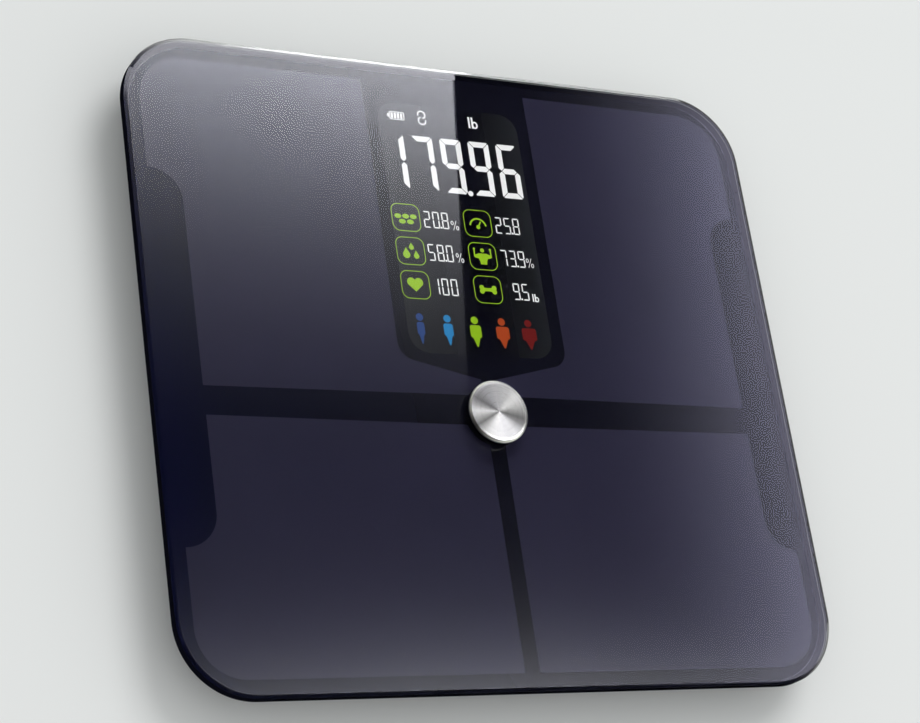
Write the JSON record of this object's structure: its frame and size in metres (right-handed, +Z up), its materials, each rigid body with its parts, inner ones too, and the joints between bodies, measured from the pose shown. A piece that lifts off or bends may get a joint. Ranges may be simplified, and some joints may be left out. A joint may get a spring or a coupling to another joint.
{
  "type": "digital bathroom scale",
  "caption": "Flat body-fat scale with a bevelled dark glass platform, a display under the glass, clear electrodes, a steel centre button and four rubber feet.",
  "frame": {"origin": "on the floor, under the middle of the glass", "axes": "+Z up, +Y towards the display end, +X to the right of a person standing on it facing the display"},
  "size_m": [0.3, 0.2776, 0.0266],
  "materials": {
    "clear_glass": "polished, bevelled edge",
    "black_print": "printed behind the glass",
    "conductive_coating": "thin coating, smoky violet",
    "copper_foil": "thin foil",
    "foam": "closed-cell foam",
    "tray_plastic": "fine moulded texture",
    "display_glass": "dark display cell",
    "light_guide": "milky light guide",
    "grey_plastic": "moulded",
    "ribbon_film": "amber film",
    "board_green": "solder mask",
    "chip_black": "moulded package",
    "white_plastic": "moulded",
    "zinc_steel": "plated",
    "turned_steel": "turned face, bevelled rim",
    "spring_wire": "wire",
    "pin_plastic": "moulded",
    "light_plastic": "moulded",
    "red_lead": "soft insulation",
    "battery_skin": "printed sleeve without any marks",
    "foot_plastic": "moulded",
    "foot_rubber": "ringed tread"
  },
  "bodies": {
    "platform": {"glass_platform": "clear_glass", "print_film": "black_print", "electrode_foils": "copper_foil", "foam_tape": "foam", "base_tray": "tray_plastic", "display_cell": "display_glass", "display_backlight": "light_guide", "display_frame": "grey_plastic", "display_ribbon": "ribbon_film", "main_board": "board_green", "board_chips": "chip_black", "board_sockets": "white_plastic", "board_screws": "zinc_steel", "button_bush": "grey_plastic", "button_spring": "spring_wire", "button_board": "board_green", "button_switch": "chip_black", "button_ribbon": "grey_plastic", "unit_switch": "chip_black", "battery_springs": "spring_wire", "battery_plates": "zinc_steel", "power_leads": "red_lead", "electrode_toe_left": "conductive_coating", "load_cell_toe_left": "zinc_steel", "cell_holder_toe_left": "white_plastic", "foot_cap_toe_left": "foot_plastic", "foot_pad_toe_left": "foot_rubber", "sensor_lead_toe_left": "red_lead", "electrode_toe_right": "conductive_coating", "load_cell_toe_right": "zinc_steel", "cell_holder_toe_right": "white_plastic", "foot_cap_toe_right": "foot_plastic", "foot_pad_toe_right": "foot_rubber", "sensor_lead_toe_right": "red_lead", "electrode_heel_left": "conductive_coating", "load_cell_heel_left": "zinc_steel", "cell_holder_heel_left": "white_plastic", "foot_cap_heel_left": "foot_plastic", "foot_pad_heel_left": "foot_rubber", "sensor_lead_heel_left": "red_lead", "electrode_heel_right": "conductive_coating", "load_cell_heel_right": "zinc_steel", "cell_holder_heel_right": "white_plastic", "foot_cap_heel_right": "foot_plastic", "foot_pad_heel_right": "foot_rubber", "sensor_lead_heel_right": "red_lead", "battery_1": "battery_skin", "battery_2": "battery_skin", "battery_3": "battery_skin", "battery_4": "battery_skin"},
    "centre_button": {"button_cap": "turned_steel", "button_plunger": "white_plastic", "button_clip": "zinc_steel", "button_switch_pin": "pin_plastic"},
    "unit_button": {"unit_key": "light_plastic", "unit_switch_pin": "pin_plastic"},
    "door": {"battery_door": "tray_plastic"}
  },
  "joints": [
    {"name": "centre_press", "type": "slide", "parent": "platform", "child": "centre_button", "axis": [0, 0, -1], "range_m": [0, 0.0006], "stiffness_N_per_m": 700, "springref_m": -0.001, "deforming": ["button_spring"]},
    {"name": "unit_press", "type": "slide", "parent": "platform", "child": "unit_button", "axis": [0, 0, 1], "range_m": [0, 0.0003], "stiffness_N_per_m": 900, "springref_m": -0.0006},
    {"name": "door_hinge", "type": "hinge", "parent": "platform", "child": "door", "pos_m": [0, -0.0635, 0.0052], "axis": [1, 0, 0], "range_deg": [0, 100]}
  ]
}
